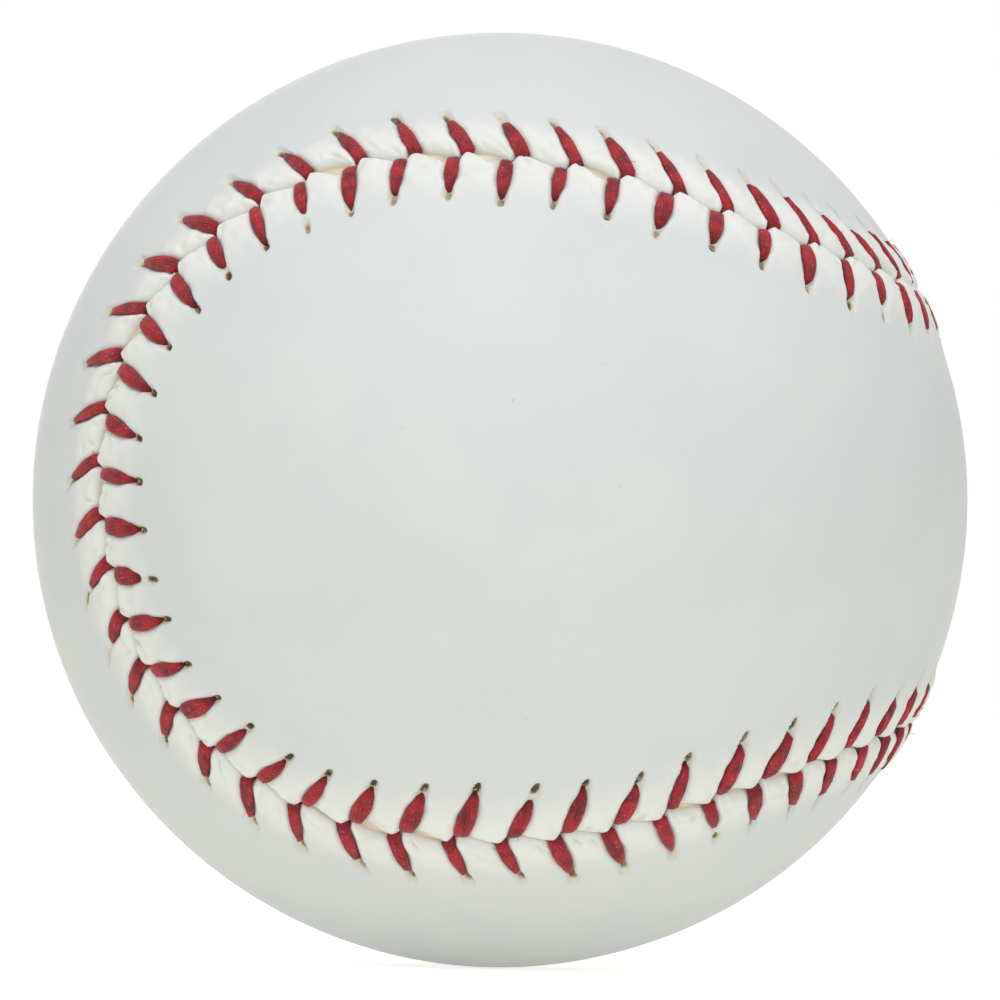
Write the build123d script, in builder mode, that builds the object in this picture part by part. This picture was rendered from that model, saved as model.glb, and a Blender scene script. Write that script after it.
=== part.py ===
from build123d import *
from math import acos, atan2, cos, hypot, pi, radians, sin, sqrt, tan
import os

os.makedirs("parts", exist_ok=True)

# Whole ball, over the leather away from the seam.
ball_diameter = 73.8
leather_thickness = 1.3

# The pill: cork, two half shells of black rubber, a washer between them, a red rubber layer.
cork_diameter = 20.6
shell_thickness = 3.2
washer_thickness = 1.0
pill_cover_thickness = 3.15

# Yarn and cement, from the cover inwards. The first winding fills what is left down to the pill.
adhesive_thickness = 0.15
finishing_thickness = 0.5
third_thickness = 2.2
second_thickness = 1.75

# The seam: the round end of a panel, the narrow middle of a panel, and how the edges lie.
lobe_radius = 29.0
waist_width = 34.6
seam_lift = 0.45
lift_width = 6.0
edge_round = 0.35
ramp_width = 0.9

# The sewing: two needles, a hole in each panel at every stitch.
half_stitches = 47
stitch_phase = 0.16
thread_diameter = 0.85
hole_inset = 4.2
stitch_lead = 0.7
thread_sink = 0.5
thread_clearance = 0.06
end_gap = 1.2

ball_radius = ball_diameter / 2
wound_radius = ball_radius - leather_thickness
finishing_radius = wound_radius - adhesive_thickness
third_radius = finishing_radius - finishing_thickness
second_radius = third_radius - third_thickness
first_radius = second_radius - second_thickness
cork_radius = cork_diameter / 2
shell_radius = cork_radius + shell_thickness
pill_radius = shell_radius + pill_cover_thickness
thread_radius = thread_diameter / 2
channel_radius = thread_radius + thread_clearance


def spun(point, axis, angle):
    return point.rotate(Axis((0, 0, 0), axis), angle)


# Half turn about X keeps the seam's direction; half turn about a crossing of the seam reverses it.
def half_turn(point):
    return Vector(point.X, -point.Y, -point.Z)


def crossing_turn(point):
    return Vector(-point.X, -point.Z, -point.Y)


# The seam on a ball of unit radius: four round lobe arcs, joined by four great-circle flanks.
lobe_angle = lobe_radius / ball_radius
waist_angle = waist_width / 2 / ball_radius
lobe_lean = lobe_angle + waist_angle - pi / 2
lobe_pole = Vector(sin(lobe_lean), -cos(lobe_lean), 0)
crossing = Vector(0, -1, 1).normalized()
across = Vector(1, 0, 0)
along = crossing.cross(across)
lobe_reach = hypot(lobe_pole.dot(across), lobe_pole.dot(along))
flank_turn = acos(sin(lobe_angle) / lobe_reach)
flank_angle = atan2(lobe_pole.dot(along), lobe_pole.dot(across)) + flank_turn
flank_pole = across * cos(flank_angle) + along * sin(flank_angle)
touch_upper = (lobe_pole - flank_pole * sin(lobe_angle)).normalized()
touch_lower = Vector(touch_upper.X, touch_upper.Y, -touch_upper.Z)
lobe_tip = Vector(-cos(waist_angle), -sin(waist_angle), 0)


class SeamArc:
    """One round run of the seam, turned from its start about a pole through the ball's centre."""

    def __init__(self, pole, start, angle):
        self.pole = pole
        self.start = start
        self.angle = angle
        self.length = radians(abs(angle)) * ball_radius * start.cross(pole).length

    def frame(self, distance):
        """The seam point, and the direction into panel A, at a distance along the arc."""
        point = spun(self.start, self.pole, self.angle * distance / self.length)
        heading = self.pole.cross(point) * (1 if self.angle > 0 else -1)
        return point, heading.normalized().cross(point)

    def axis(self):
        return Axis((0, 0, 0), self.pole if self.angle > 0 else -self.pole)


def lobe_arc(start, middle, pole):
    flat_start = start - pole * start.dot(pole)
    flat_middle = middle - pole * middle.dot(pole)
    turn = 2 * flat_start.get_angle(flat_middle)
    sense = 1 if flat_start.cross(flat_middle).dot(pole) > 0 else -1
    return SeamArc(pole, start, turn * sense)


def flank_arc(start, end):
    return SeamArc(start.cross(end).normalized(), start, start.get_angle(end))


def half_seam(place):
    front_end = place(touch_upper)
    top_start = place(crossing_turn(touch_upper))
    top_end = place(crossing_turn(touch_lower))
    next_start = place(half_turn(touch_lower))
    top_tip = place(crossing_turn(lobe_tip))
    top_pole = place(crossing_turn(lobe_pole))
    return [
        lobe_arc(place(touch_lower), place(lobe_tip), place(lobe_pole)),
        flank_arc(front_end, top_start),
        lobe_arc(top_start, top_tip, top_pole),
        flank_arc(top_end, next_start),
    ]


half_run = half_seam(lambda point: point)
seam = half_run + half_seam(half_turn)
seam_length = sum(arc.length for arc in seam)
stitch_count = 2 * half_stitches
pitch = seam_length / stitch_count


def on_seam(distance, inset, radius):
    """A point beside the seam: inset is over the surface into panel A, negative into panel B."""
    rest = distance % seam_length
    for arc in seam:
        if rest <= arc.length:
            break
        rest -= arc.length
    point, inward = arc.frame(rest)
    turn = inset / ball_radius
    return (point * cos(turn) + inward * sin(turn)) * radius


def on_section(inset, radius):
    turn = inset / ball_radius
    return (radius * sin(turn), radius * cos(turn))


def section_plane(arc, side):
    """The plane across an arc's start: x runs into the panel on that side, y runs outwards."""
    point, inward = arc.frame(0)
    toward = inward * side
    return Plane(origin=(0, 0, 0), x_dir=toward, z_dir=toward.cross(point))


# The leather beside the seam keeps its thickness and lifts off the winding towards its edge.
lip_radius = ball_radius + seam_lift
under_radius = wound_radius + seam_lift
edge_x = channel_radius
crown_inset = edge_x + edge_round
slope_inset = (crown_inset + lift_width) / 2
crown_mid = (crown_inset + slope_inset) / 2
foot_mid = (slope_inset + lift_width) / 2
bend_share = seam_lift / 8
round_share = edge_round * (1 - cos(pi / 4))
ramp_inset = lift_width - ramp_width
under_mid = (edge_x + ramp_inset) / 2
foot_x, foot_top = on_section(lift_width, ball_radius)
foot_low = sqrt(wound_radius**2 - foot_x**2)


def lip_section(arc, side):
    crown = on_section(crown_inset, lip_radius)
    slope = on_section(slope_inset, ball_radius + seam_lift / 2)
    edge_high = (edge_x, lip_radius - edge_round)
    edge_low = (edge_x, under_radius)
    ramp = on_section(ramp_inset, under_radius - thread_clearance)
    with BuildSketch(section_plane(arc, side)) as section:
        with BuildLine():
            Line(edge_low, edge_high)
            ThreePointArc(edge_high, (edge_x + round_share, lip_radius - round_share), crown)
            ThreePointArc(crown, on_section(crown_mid, lip_radius - bend_share), slope)
            ThreePointArc(slope, on_section(foot_mid, ball_radius + bend_share), (foot_x, foot_top))
            Line((foot_x, foot_top), (foot_x, foot_low))
            Line((foot_x, foot_low), ramp)
            ThreePointArc(ramp, on_section(under_mid, under_radius), edge_low)
        make_face()
    return section.sketch


# The strip either side of the seam, taken out of the plain cover to leave the panels' middles.
def strip_section(arc):
    with BuildSketch(section_plane(arc, 1)) as section:
        with Locations((0, wound_radius)):
            Rectangle(2 * foot_x, 4 * leather_thickness)
    return section.sketch


# A thread comes up a hole, crosses to the gap, drops, and runs under the other panel to its next hole.
hole_radius = lip_radius + thread_radius - thread_sink
under_run = hypot(hole_inset, pitch)
under_sag = under_run**2 / 8 / ball_radius
low_radius = wound_radius + thread_radius + thread_clearance + under_sag
cross_slope = hypot(hole_inset, pitch - stitch_lead) / hole_inset
needle_offset = (thread_diameter + thread_clearance) * cross_slope


def stitch_corners(number, side):
    start = (number + stitch_phase) * pitch
    lead = stitch_lead if side > 0 else stitch_lead + needle_offset
    return [
        on_seam(start, side * hole_inset, low_radius),
        on_seam(start, side * hole_inset, hole_radius),
        on_seam(start + lead, 0, hole_radius),
        on_seam(start + lead, 0, low_radius),
    ]


def rounded_run(corners):
    """Straight runs through the corners, each corner rounded to the bend of the thread."""
    edges = []
    start = corners[0]
    for before, corner, after in zip(corners, corners[1:], corners[2:]):
        back = (before - corner).normalized()
        ahead = (after - corner).normalized()
        half = radians(back.get_angle(ahead)) / 2
        reach = channel_radius / tan(half)
        middle = corner + (back + ahead).normalized() * (channel_radius / sin(half) - channel_radius)
        edges.append(Edge.make_line(start, corner + back * reach))
        edges.append(Edge.make_three_point_arc(corner + back * reach, middle, corner + ahead * reach))
        start = corner + ahead * reach
    edges.append(Edge.make_line(start, corners[-1]))
    return Wire(edges)


def thread_run(first_side):
    """One needle's thread, side to side all the way round, its two ends under the leather."""
    sides = [first_side if number % 2 == 0 else -first_side for number in range(-1, stitch_count + 1)]
    stitches = [stitch_corners(number - 1, side) for number, side in enumerate(sides)]
    tail_out = stitches[0][-1]
    tail_in = stitches[-1][0]
    corners = [corner for stitch in stitches[1:-1] for corner in stitch]
    first_end = (tail_out + corners[0]) / 2 + (corners[0] - tail_out).normalized() * end_gap / 2
    last_end = (tail_in + corners[-1]) / 2 + (corners[-1] - tail_in).normalized() * end_gap / 2
    return rounded_run([first_end, *corners, last_end])


def stitch_plane(hole, other):
    """The upright plane through a hole and another point: x runs to that point, y outwards."""
    outward = hole.normalized()
    toward = (other - outward * other.dot(outward)).normalized()
    return Plane(origin=(0, 0, 0), x_dir=toward, z_dir=toward.cross(outward))


def stitch_channel(number, side):
    """The way of one stitch through a panel: under it from the gap, up the hole, back to the gap."""
    hole_low, hole_high, gap_high, gap_low = stitch_corners(number, side)
    under_start = stitch_corners(number - 1, -side)[-1]
    over = stitch_plane(hole_high, gap_high)
    under = stitch_plane(hole_low, under_start)
    over_end = over.to_local_coords(gap_high)
    under_end = under.to_local_coords(under_start)
    over_slope = (over_end.Y - hole_high.length) / over_end.X
    under_slope = (under_end.Y - hole_low.length) / under_end.X
    over_drop = channel_radius * hypot(1, over_slope)
    under_rise = channel_radius * hypot(1, under_slope)
    hole_floor = low_radius - leather_thickness
    open_above = lip_radius + leather_thickness
    with BuildPart() as channel:
        with BuildSketch(over):
            with BuildLine():
                Polyline(
                    (-channel_radius, hole_floor),
                    (-channel_radius, open_above),
                    (over_end.X, open_above),
                    (over_end.X, over_end.Y - over_drop),
                    (channel_radius, hole_high.length + over_slope * channel_radius - over_drop),
                    (channel_radius, hole_floor),
                    close=True,
                )
            make_face()
        extrude(amount=channel_radius, both=True)
        with BuildSketch(under):
            with BuildLine():
                Polyline(
                    (-channel_radius, hole_floor),
                    (-channel_radius, hole_low.length - under_slope * channel_radius + under_rise),
                    (under_end.X, under_end.Y + under_rise),
                    (under_end.X, hole_floor),
                    close=True,
                )
            make_face()
        extrude(amount=channel_radius, both=True)
    return channel.part


with BuildPart() as cork_core:
    Sphere(cork_radius)

with BuildPart() as inner_shell_left:
    Sphere(shell_radius)
    Sphere(cork_radius, mode=Mode.SUBTRACT)
    split(bisect_by=Plane.YZ.offset(-washer_thickness / 2), keep=Keep.BOTTOM)

with BuildPart() as inner_shell_right:
    add(inner_shell_left.part.mirror(Plane.YZ))

with BuildPart() as shell_washer:
    Sphere(shell_radius)
    Sphere(cork_radius, mode=Mode.SUBTRACT)
    split(bisect_by=Plane.YZ.offset(-washer_thickness / 2), keep=Keep.TOP)
    split(bisect_by=Plane.YZ.offset(washer_thickness / 2), keep=Keep.BOTTOM)

with BuildPart() as pill_cover:
    Sphere(pill_radius)
    Sphere(shell_radius, mode=Mode.SUBTRACT)

with BuildPart() as first_winding:
    Sphere(first_radius)
    Sphere(pill_radius, mode=Mode.SUBTRACT)

with BuildPart() as second_winding:
    Sphere(second_radius)
    Sphere(first_radius, mode=Mode.SUBTRACT)

with BuildPart() as third_winding:
    Sphere(third_radius)
    Sphere(second_radius, mode=Mode.SUBTRACT)

with BuildPart() as finishing_winding:
    Sphere(finishing_radius)
    Sphere(third_radius, mode=Mode.SUBTRACT)

with BuildPart() as adhesive_coat:
    Sphere(wound_radius)
    Sphere(finishing_radius, mode=Mode.SUBTRACT)

with BuildPart() as seam_strip:
    for arc in seam:
        revolve(strip_section(arc), axis=arc.axis(), revolution_arc=abs(arc.angle))

with BuildPart() as plain_cover:
    Sphere(ball_radius)
    Sphere(wound_radius, mode=Mode.SUBTRACT)
    add(seam_strip.part, mode=Mode.SUBTRACT)
middle_b, middle_a = plain_cover.part.solids().sort_by(Axis.X)

# Half of each sewn edge, one stitch over at both ends; the other half is the same, turned about X.
half_numbers = range(-1, half_stitches + 1)
channels_a = [stitch_channel(number, 1) for number in half_numbers]
channels_b = [stitch_channel(number, -1) for number in half_numbers]

with BuildPart() as edge_a:
    for arc in half_run:
        revolve(lip_section(arc, 1), axis=arc.axis(), revolution_arc=abs(arc.angle))
    add(channels_a, mode=Mode.SUBTRACT)

with BuildPart() as edge_b:
    for arc in half_run:
        revolve(lip_section(arc, -1), axis=arc.axis(), revolution_arc=abs(arc.angle))
    add(channels_b, mode=Mode.SUBTRACT)

with BuildPart() as cover_panel_a:
    add(middle_a)
    sewn_a = edge_a.part.solids().sort_by(SortBy.VOLUME)[-1]
    add([sewn_a, sewn_a.rotate(Axis.X, 180)])

with BuildPart() as cover_panel_b:
    add(middle_b)
    sewn_b = edge_b.part.solids().sort_by(SortBy.VOLUME)[-1]
    add([sewn_b, sewn_b.rotate(Axis.X, 180)])

run_a = thread_run(1)
run_b = thread_run(-1)

with BuildPart() as thread_a:
    with BuildSketch(Plane(origin=run_a @ 0, z_dir=run_a % 0)):
        Circle(thread_radius)
    sweep(path=run_a)

with BuildPart() as thread_b:
    with BuildSketch(Plane(origin=run_b @ 0, z_dir=run_b % 0)):
        Circle(thread_radius)
    sweep(path=run_b)

pieces = {
    "cork_core": cork_core,
    "inner_shell_left": inner_shell_left,
    "inner_shell_right": inner_shell_right,
    "shell_washer": shell_washer,
    "pill_cover": pill_cover,
    "first_winding": first_winding,
    "second_winding": second_winding,
    "third_winding": third_winding,
    "finishing_winding": finishing_winding,
    "adhesive_coat": adhesive_coat,
    "cover_panel_a": cover_panel_a,
    "cover_panel_b": cover_panel_b,
    "thread_a": thread_a,
    "thread_b": thread_b,
}
for label, piece in pieces.items():
    piece.part.label = label
    export_step(piece.part, f"parts/{label}.step")
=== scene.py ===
"""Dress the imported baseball: leather panels, red lacing, the layers inside and a pale studio."""

from collections import namedtuple
from math import acos, asin, atan2, cos, hypot, pi, radians, sin, sqrt, tan

import bmesh
import bpy
import numpy as np
from mathutils import Matrix, Vector
from mathutils.geometry import delaunay_2d_cdt


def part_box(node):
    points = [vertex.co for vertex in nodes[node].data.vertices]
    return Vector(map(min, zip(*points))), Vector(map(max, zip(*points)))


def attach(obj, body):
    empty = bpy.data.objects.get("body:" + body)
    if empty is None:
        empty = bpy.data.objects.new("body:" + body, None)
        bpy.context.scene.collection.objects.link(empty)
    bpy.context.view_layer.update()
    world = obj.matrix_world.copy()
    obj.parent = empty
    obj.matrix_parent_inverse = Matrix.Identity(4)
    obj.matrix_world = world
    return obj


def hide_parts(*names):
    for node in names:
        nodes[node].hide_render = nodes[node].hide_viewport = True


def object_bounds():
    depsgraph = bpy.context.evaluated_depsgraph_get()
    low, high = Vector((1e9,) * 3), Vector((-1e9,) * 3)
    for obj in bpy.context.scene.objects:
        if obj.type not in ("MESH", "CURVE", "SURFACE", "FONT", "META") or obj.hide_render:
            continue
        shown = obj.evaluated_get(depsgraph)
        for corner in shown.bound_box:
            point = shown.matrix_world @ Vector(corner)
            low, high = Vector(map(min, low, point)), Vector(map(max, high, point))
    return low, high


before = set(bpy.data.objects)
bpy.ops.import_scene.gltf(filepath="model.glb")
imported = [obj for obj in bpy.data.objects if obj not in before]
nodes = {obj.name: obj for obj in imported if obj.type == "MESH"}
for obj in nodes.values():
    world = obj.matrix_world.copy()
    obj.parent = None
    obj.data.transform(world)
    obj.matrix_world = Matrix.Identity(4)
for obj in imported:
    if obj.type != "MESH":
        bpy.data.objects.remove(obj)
cad_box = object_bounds()

bl_info = {
    "name": "Baseball dresser",
    "version": (1, 0, 0),
    "blender": (4, 5, 0),
    "location": "View3D > Sidebar > Baseball",
    "description": "Builds a sewn leather baseball over its packed solids",
    "category": "Object",
}

MM = 0.001


def length(name, description, default):
    return bpy.props.FloatProperty(
        name=name, description=description, default=default, unit="LENGTH", subtype="DISTANCE", precision=5
    )


def share(name, description, default):
    return bpy.props.FloatProperty(name=name, description=description, default=default, subtype="FACTOR")


def whole(name, description, default):
    return bpy.props.IntProperty(name=name, description=description, default=default)


def power(name, description, default):
    return bpy.props.FloatProperty(name=name, description=description, default=default, unit="POWER")


def colour(name, description, default):
    return bpy.props.FloatVectorProperty(
        name=name, description=description, default=default, subtype="COLOR", size=3, min=0, max=1
    )


class BaseballSizes(bpy.types.PropertyGroup):
    ball_radius: length("Ball radius", "Over the leather, away from the seam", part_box("cover_panel_b")[1].z)
    wound_radius: length("Wound radius", "Over the cement, under the leather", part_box("adhesive_coat")[1].z)
    lobe_radius: length("Lobe radius", "Round end of a panel, over the surface", 29.0 * MM)
    waist_width: length("Waist width", "Narrow middle of a panel", 34.6 * MM)
    seam_lift: length("Seam lift", "How far the sewn edges stand up", 0.08 * MM)
    lift_width: length("Lift width", "How far from the seam the leather starts to rise", 6.0 * MM)
    puff: length("Puff", "How far the leather swells between two stitches", 0.26 * MM)
    edge_round: length("Edge round", "Round of the leather where it turns into the seam", 0.75 * MM)
    gap: length("Gap", "Opening of the seam between stitches", 0.05 * MM)
    parting: length("Parting", "How much more the seam opens between loose stitches", 1.10 * MM)
    edge_low: length("Edge low", "How far panel A bulges over the seam just past a stitch", -1.20 * MM)
    edge_high: length("Edge high", "How far panel A draws back just before the next stitch", 0.42 * MM)
    wander: length("Wander", "How far the sewn line strays from its even curve", 0.45 * MM)
    groove: length("Groove", "How deep a stitch presses into the leather", 0.42 * MM)
    hole_inset: length("Hole inset", "From the seam to where a stitch of panel A dives", 3.60 * MM)
    second_inset: length("Second inset", "From the seam to where a stitch of panel B dives", 4.25 * MM)
    hole_depth: length("Hole depth", "Depth of the open slit past a stitch", 0.52 * MM)
    slit_length: length("Slit length", "How far a hole reaches past its stitch", 1.60 * MM)
    stitch_count: whole("Stitches", "Stitches round the whole seam", 94)
    stitch_phase: share("Stitch phase", "Where the first stitch starts, in stitches", 0.10)
    stitch_lead: length("Stitch lead", "How far a stitch of panel A leans along the seam", 0.68 * MM)
    second_lead: length("Second lead", "How far a stitch of panel B leans along the seam", 1.50 * MM)
    lead_swing: length("Lead swing", "How much those leans change round the ball", 0.60 * MM)
    needle_offset: length("Needle offset", "How much later the second needle reaches the seam", 1.10 * MM)
    leaf_width: length("Leaf width", "Width of a stitch at its widest", 1.31 * MM)
    ply_radius: length("Ply radius", "One strand of the sewing thread", 0.205 * MM)
    plies: whole("Plies", "Strands twisted into the thread", 11)
    twist: length("Twist", "Length of one full turn of the strands", 17.0 * MM)
    seed: whole("Seed", "Hand of the sewer", 7)


class BaseballColours(bpy.types.PropertyGroup):
    leather: colour("Leather", "Clean white cowhide", (0.687, 0.706, 0.731))
    cloud: colour("Cloud", "Cooler patches in the hide", (0.661, 0.687, 0.723))
    # Whiter hide near the seam: partly hide pulled tight by the sewing, partly painted highlight where the
    # swollen leather catches the light
    taut_and_highlight: colour("Taut leather", "Whiter hide where the sewing pulls it", (0.786, 0.791, 0.794))
    speck: colour("Speck", "Single dark dots in the hide", (0.36, 0.34, 0.33))
    # Reddish staining where the thread rubs the hide, also laid in the creases as painted shade
    stain_and_crease_shade: colour("Stain", "Where the red thread rubs the hide", (0.52, 0.34, 0.32))
    raw_edge: colour("Raw edge", "Cut edge and inside of the leather", (0.830, 0.775, 0.660))
    raw_shade: colour("Raw shade", "Darker fibres of the cut leather", (0.74, 0.66, 0.52))
    # Painted shade deep in an open needle hole
    hole_shade: colour("Hole shade", "Bottom of an open needle hole", (0.095, 0.070, 0.052))
    hole_lint: colour("Hole lint", "Loose fibres in a needle hole", (0.38, 0.33, 0.27))
    thread: colour("Thread", "Waxed cotton", (0.385, 0.013, 0.024))
    # Painted shade of the thread in the hollows of its twist and where it lies hidden under the leather or
    # near its hole
    thread_shade: colour("Thread dark", "Thread in the hollows of the twist", (0.150, 0.005, 0.010))
    thread_light: colour("Thread light", "Rubbed fibres", (0.600, 0.190, 0.205))
    # Each yarn has a lit colour for its tops and a painted shade colour for the hollows between its strands
    grey_wool: colour("Grey wool", "Top of the grey yarn", (0.30, 0.31, 0.32))
    grey_wool_shade: colour("Grey wool dark", "Hollows of the grey yarn", (0.12, 0.12, 0.13))
    white_wool: colour("White wool", "Top of the white yarn", (0.70, 0.68, 0.62))
    white_wool_shade: colour("White wool dark", "Hollows of the white yarn", (0.42, 0.40, 0.36))
    fine_yarn: colour("Fine yarn", "Top of the finishing yarn", (0.76, 0.75, 0.71))
    fine_yarn_shade: colour("Fine yarn dark", "Hollows of the finishing yarn", (0.52, 0.50, 0.46))
    black_rubber: colour("Black rubber", "Rubber of the half shells", (0.018, 0.018, 0.019))
    black_bloom: colour("Black bloom", "Grey bloom on the half shells", (0.040, 0.040, 0.042))
    red_rubber: colour("Red rubber", "Rubber of the washer and the pill", (0.330, 0.035, 0.025))
    red_bloom: colour("Red bloom", "Duller patches of the red rubber", (0.240, 0.028, 0.022))
    cork_dark: colour("Cork dark", "Brown granules", (0.30, 0.17, 0.08))
    cork_light: colour("Cork light", "Tan granules", (0.52, 0.34, 0.18))
    cork_joint: colour("Cork joint", "Binder between the granules", (0.09, 0.05, 0.03))
    cement_thin: colour("Cement thin", "Cement where the brush left little", (0.66, 0.62, 0.52))
    cement_thick: colour("Cement thick", "Milky cement", (0.74, 0.72, 0.66))


class BaseballStage(bpy.types.PropertyGroup):
    view_distance: length("View distance", "Camera to the middle of the ball", 1.107)
    ball_share: share("Ball share", "Part of the picture's width that the ball fills", 0.93546)
    view_turn: bpy.props.FloatVectorProperty(
        name="View turn", description="Turn of the camera round the ball", subtype="EULER",
        default=(radians(0.51), radians(-1.45), radians(-5.58)),
    )
    floor_size: length("Floor size", "Side of the square floor", 6.0)
    floor_colour: colour("Floor", "Pale paper under the ball", (0.86, 0.86, 0.80))
    ambient: share("Ambient", "Light from all round", 0.60)
    light_tint: colour("Light tint", "Colour of the softboxes", (0.992, 1.0, 0.965))
    softbox_power: power("Softbox power", "Overhead light", 6.0)
    back_power: power("Back power", "Low light from behind", 3.0)
    fill_power: power("Fill power", "Low light from the front", 4.9)


def add(tree, kind, links=None, **settings):
    """A node with its settings made and its sockets linked or filled."""
    made = tree.nodes.new(kind)
    for key, value in settings.items():
        setattr(made, key, value)
    for socket, value in (links or {}).items():
        if isinstance(value, bpy.types.NodeSocket):
            tree.links.new(value, made.inputs[socket])
        else:
            made.inputs[socket].default_value = value
    return made


def rgba(value):
    return (*value, 1.0)


def unit(vectors):
    vectors = np.asarray(vectors, float)
    return vectors / np.linalg.norm(vectors, axis=-1, keepdims=True)


def smooth(low, high, value):
    """Nothing below the low end, one above the high end, and an even rise between."""
    step = np.clip((value - low) / (high - low), 0, 1)
    return step * step * (3 - 2 * step)


def hump(value, width):
    """One at nothing, falling off to both sides over a width."""
    return np.exp(-((value / width) ** 2))


# Where the sewer pulled the seam off its even curve: places along it, reaches and a share
STRAY_WAVES = 5
PULLED_IN, PULLED_IN_REACH = 31 * MM, 6 * MM
PULLED_OUT, PULLED_OUT_REACH, PULLED_OUT_SHARE = 49 * MM, 8 * MM, 1.2


class Seam:
    """The sewn line: four round lobe arcs joined by four great-circle flanks."""

    def __init__(self, sizes):
        self.radius = sizes.ball_radius
        lobe = sizes.lobe_radius / self.radius
        waist = sizes.waist_width / 2 / self.radius
        lean = lobe + waist - pi / 2
        lobe_pole = np.array((sin(lean), -cos(lean), 0))
        across = np.array((1.0, 0, 0))
        along = np.cross(unit((0, -1, 1)), across)
        reach = hypot(lobe_pole @ across, lobe_pole @ along)
        turn = atan2(lobe_pole @ along, lobe_pole @ across) + acos(sin(lobe) / reach)
        flank_pole = across * cos(turn) + along * sin(turn)
        touch_upper = unit(lobe_pole - flank_pole * sin(lobe))
        touch_lower = touch_upper * (1, 1, -1)
        lobe_tip = np.array((-cos(waist), -sin(waist), 0))
        self.arcs = []
        for place in (lambda p: p, self.half_turn):
            back = [self.crossing_turn(p) for p in (touch_upper, lobe_tip, lobe_pole, touch_lower)]
            self.lobe(place(touch_lower), place(lobe_tip), place(lobe_pole))
            self.flank(place(touch_upper), place(back[0]))
            self.lobe(place(back[0]), place(back[1]), place(back[2]))
            self.flank(place(back[3]), place(self.half_turn(touch_lower)))
        self.pole, self.start = (np.array([arc[n] for arc in self.arcs]) for n in (0, 1))
        self.angle = np.array([arc[2] for arc in self.arcs])
        self.run = np.abs(self.angle) * self.radius * np.linalg.norm(np.cross(self.start, self.pole), axis=1)
        self.reached = np.concatenate(((0,), np.cumsum(self.run)))
        self.length = self.reached[-1]

    @staticmethod
    def half_turn(point):
        return point * (1, -1, -1)

    @staticmethod
    def crossing_turn(point):
        return -point[[0, 2, 1]]

    def lobe(self, start, middle, pole):
        flat_start = unit(start - pole * (start @ pole))
        flat_middle = unit(middle - pole * (middle @ pole))
        sense = 1 if np.cross(flat_start, flat_middle) @ pole > 0 else -1
        self.arcs.append((pole, start, 2 * acos(flat_start @ flat_middle) * sense))

    def flank(self, start, end):
        self.arcs.append((unit(np.cross(start, end)), start, acos(start @ end)))

    def frame(self, distance):
        """The seam point, its heading, and the direction into panel A, at distances along the seam."""
        distance = np.mod(distance, self.length)
        arc = np.clip(np.searchsorted(self.reached, distance, side="right") - 1, 0, len(self.run) - 1)
        turn = (self.angle[arc] * (distance - self.reached[arc]) / self.run[arc])[..., None]
        pole, start = self.pole[arc], self.start[arc]
        dot = np.sum(pole * start, axis=-1, keepdims=True)
        point = start * np.cos(turn) + np.cross(pole, start) * np.sin(turn) + pole * dot * (1 - np.cos(turn))
        heading = unit(np.cross(pole, point)) * np.sign(self.angle[arc])[..., None]
        return point, heading, np.cross(heading, point)

    def beside(self, distance, middle, width):
        """One near a place along the seam, falling to nothing away from it."""
        return hump(np.mod(distance, self.length) - middle, width)

    def stray(self, distance, most):
        """How far the sewing strays from the even curve, into panel A."""
        waves = np.sin(2 * pi * STRAY_WAVES * distance / self.length)
        pulled_in = self.beside(distance, PULLED_IN, PULLED_IN_REACH)
        pulled_out = self.beside(distance, PULLED_OUT, PULLED_OUT_REACH)
        return most * (waves + pulled_in - PULLED_OUT_SHARE * pulled_out)

    def place(self, distance, inset, radius):
        """Points beside the seam: inset is over the surface into panel A, negative into panel B."""
        distance, inset, radius = np.broadcast_arrays(distance, inset, radius)
        point, _, inward = self.frame(distance)
        turn = (inset / self.radius)[..., None]
        return (point * np.cos(turn) + inward * np.sin(turn)) * radius[..., None]


# What differs between the stitches of panel A, at 1, and those of panel B, at -1
# eye_tones: how dark the painted shade in the open holes runs; upper_fade: how much lighter that painted
# shade is on the upper side of the ball, as if lit from above
Leg = namedtuple("Leg", (
    "hand", "end", "drift_share", "long_places", "long_reach", "long_by", "eye_tones", "upper_fade",
    "leaf_share", "ridge_share", "hole_width", "belly", "belly_place", "taper", "taper_place",
))
LEGS = {
    1: Leg(
        hand=0, end=0.56 * MM, drift_share=0.35,
        long_places=(32 * MM, 387 * MM), long_reach=7 * MM, long_by=0.45 * MM,
        eye_tones=(0.80, 1.0), upper_fade=0.28, leaf_share=1, ridge_share=0.6,
        hole_width=0.58, belly=0.42, belly_place=0.48, taper=0.17, taper_place=0.72,
    ),
    -1: Leg(
        hand=1000, end=0.80 * MM, drift_share=-1.2,
        long_places=(51 * MM,), long_reach=9 * MM, long_by=0.85 * MM,
        eye_tones=(0.50, 0.85), upper_fade=0, leaf_share=0.93, ridge_share=1,
        hole_width=0.46, belly=0.54, belly_place=0.55, taper=0.06, taper_place=0.80,
    ),
}
LEAF_START, LEAF_STOP = -0.05, 1.08

# How the lean of the stitches swings round the ball, and where the second needle follows closer
FIRST_SWING_START, SECOND_SWING_START, SECOND_SWING = 15 * MM, 40 * MM, 1.1
CLOSE_PLACE, CLOSE_REACH, CLOSE_BY = 58 * MM, 14 * MM, 0.6 * MM

# Unevenness of the sewer's hand: spreads in metres, ranges in millimetres or as shares
APEX_SPREAD, HOLE_SPREAD, INSET_SPREAD = 0.05 * MM, 0.10 * MM, 0.22 * MM
SHORT_STITCHES, SHORT_BY = 0.12, (0.4, 1.1)
EYE_START, EYE_REACH, EYE_WIDTH = (0.42, 0.56), (0.40, 0.54), (0.37, 0.46)
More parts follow.
